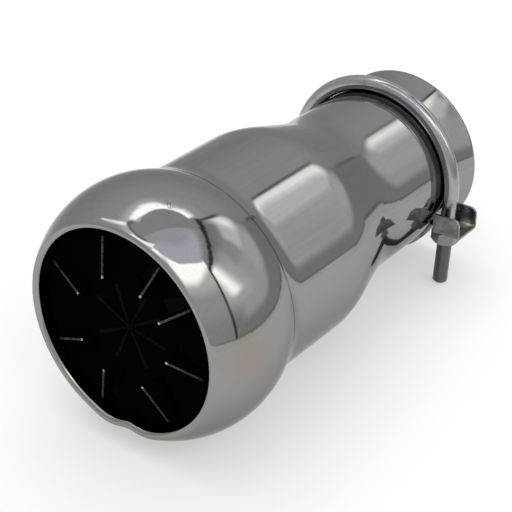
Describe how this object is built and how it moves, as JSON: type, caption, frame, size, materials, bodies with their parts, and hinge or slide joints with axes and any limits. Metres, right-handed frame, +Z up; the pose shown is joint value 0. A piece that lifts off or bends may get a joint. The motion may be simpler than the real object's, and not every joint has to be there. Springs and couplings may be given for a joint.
{
  "type": "exhaust tip",
  "caption": "Round chromed exhaust tip with a bulbed mouth, a finned disc inside it, and a clamp that holds its inlet collar on a tail pipe.",
  "frame": {"origin": "on the tube's axis, in the plane of the clamp rod, where the tail pipe is gripped", "axes": "+Y along the tube, out of the inlet, so the mouth looks toward -Y; +Z up, away from the clamp's legs"},
  "size_m": [0.0944, 0.1755, 0.0944],
  "materials": {
    "chrome_plate": "polished",
    "black_coat": "matt",
    "zinc_plate": "satin"
  },
  "bodies": {
    "root": {"tip_shell": "chrome_plate", "baffle_disc": "black_coat", "u_bolt": "zinc_plate", "saddle": "zinc_plate", "nut_right": "zinc_plate", "nut_left": "zinc_plate"}
  },
  "joints": []
}
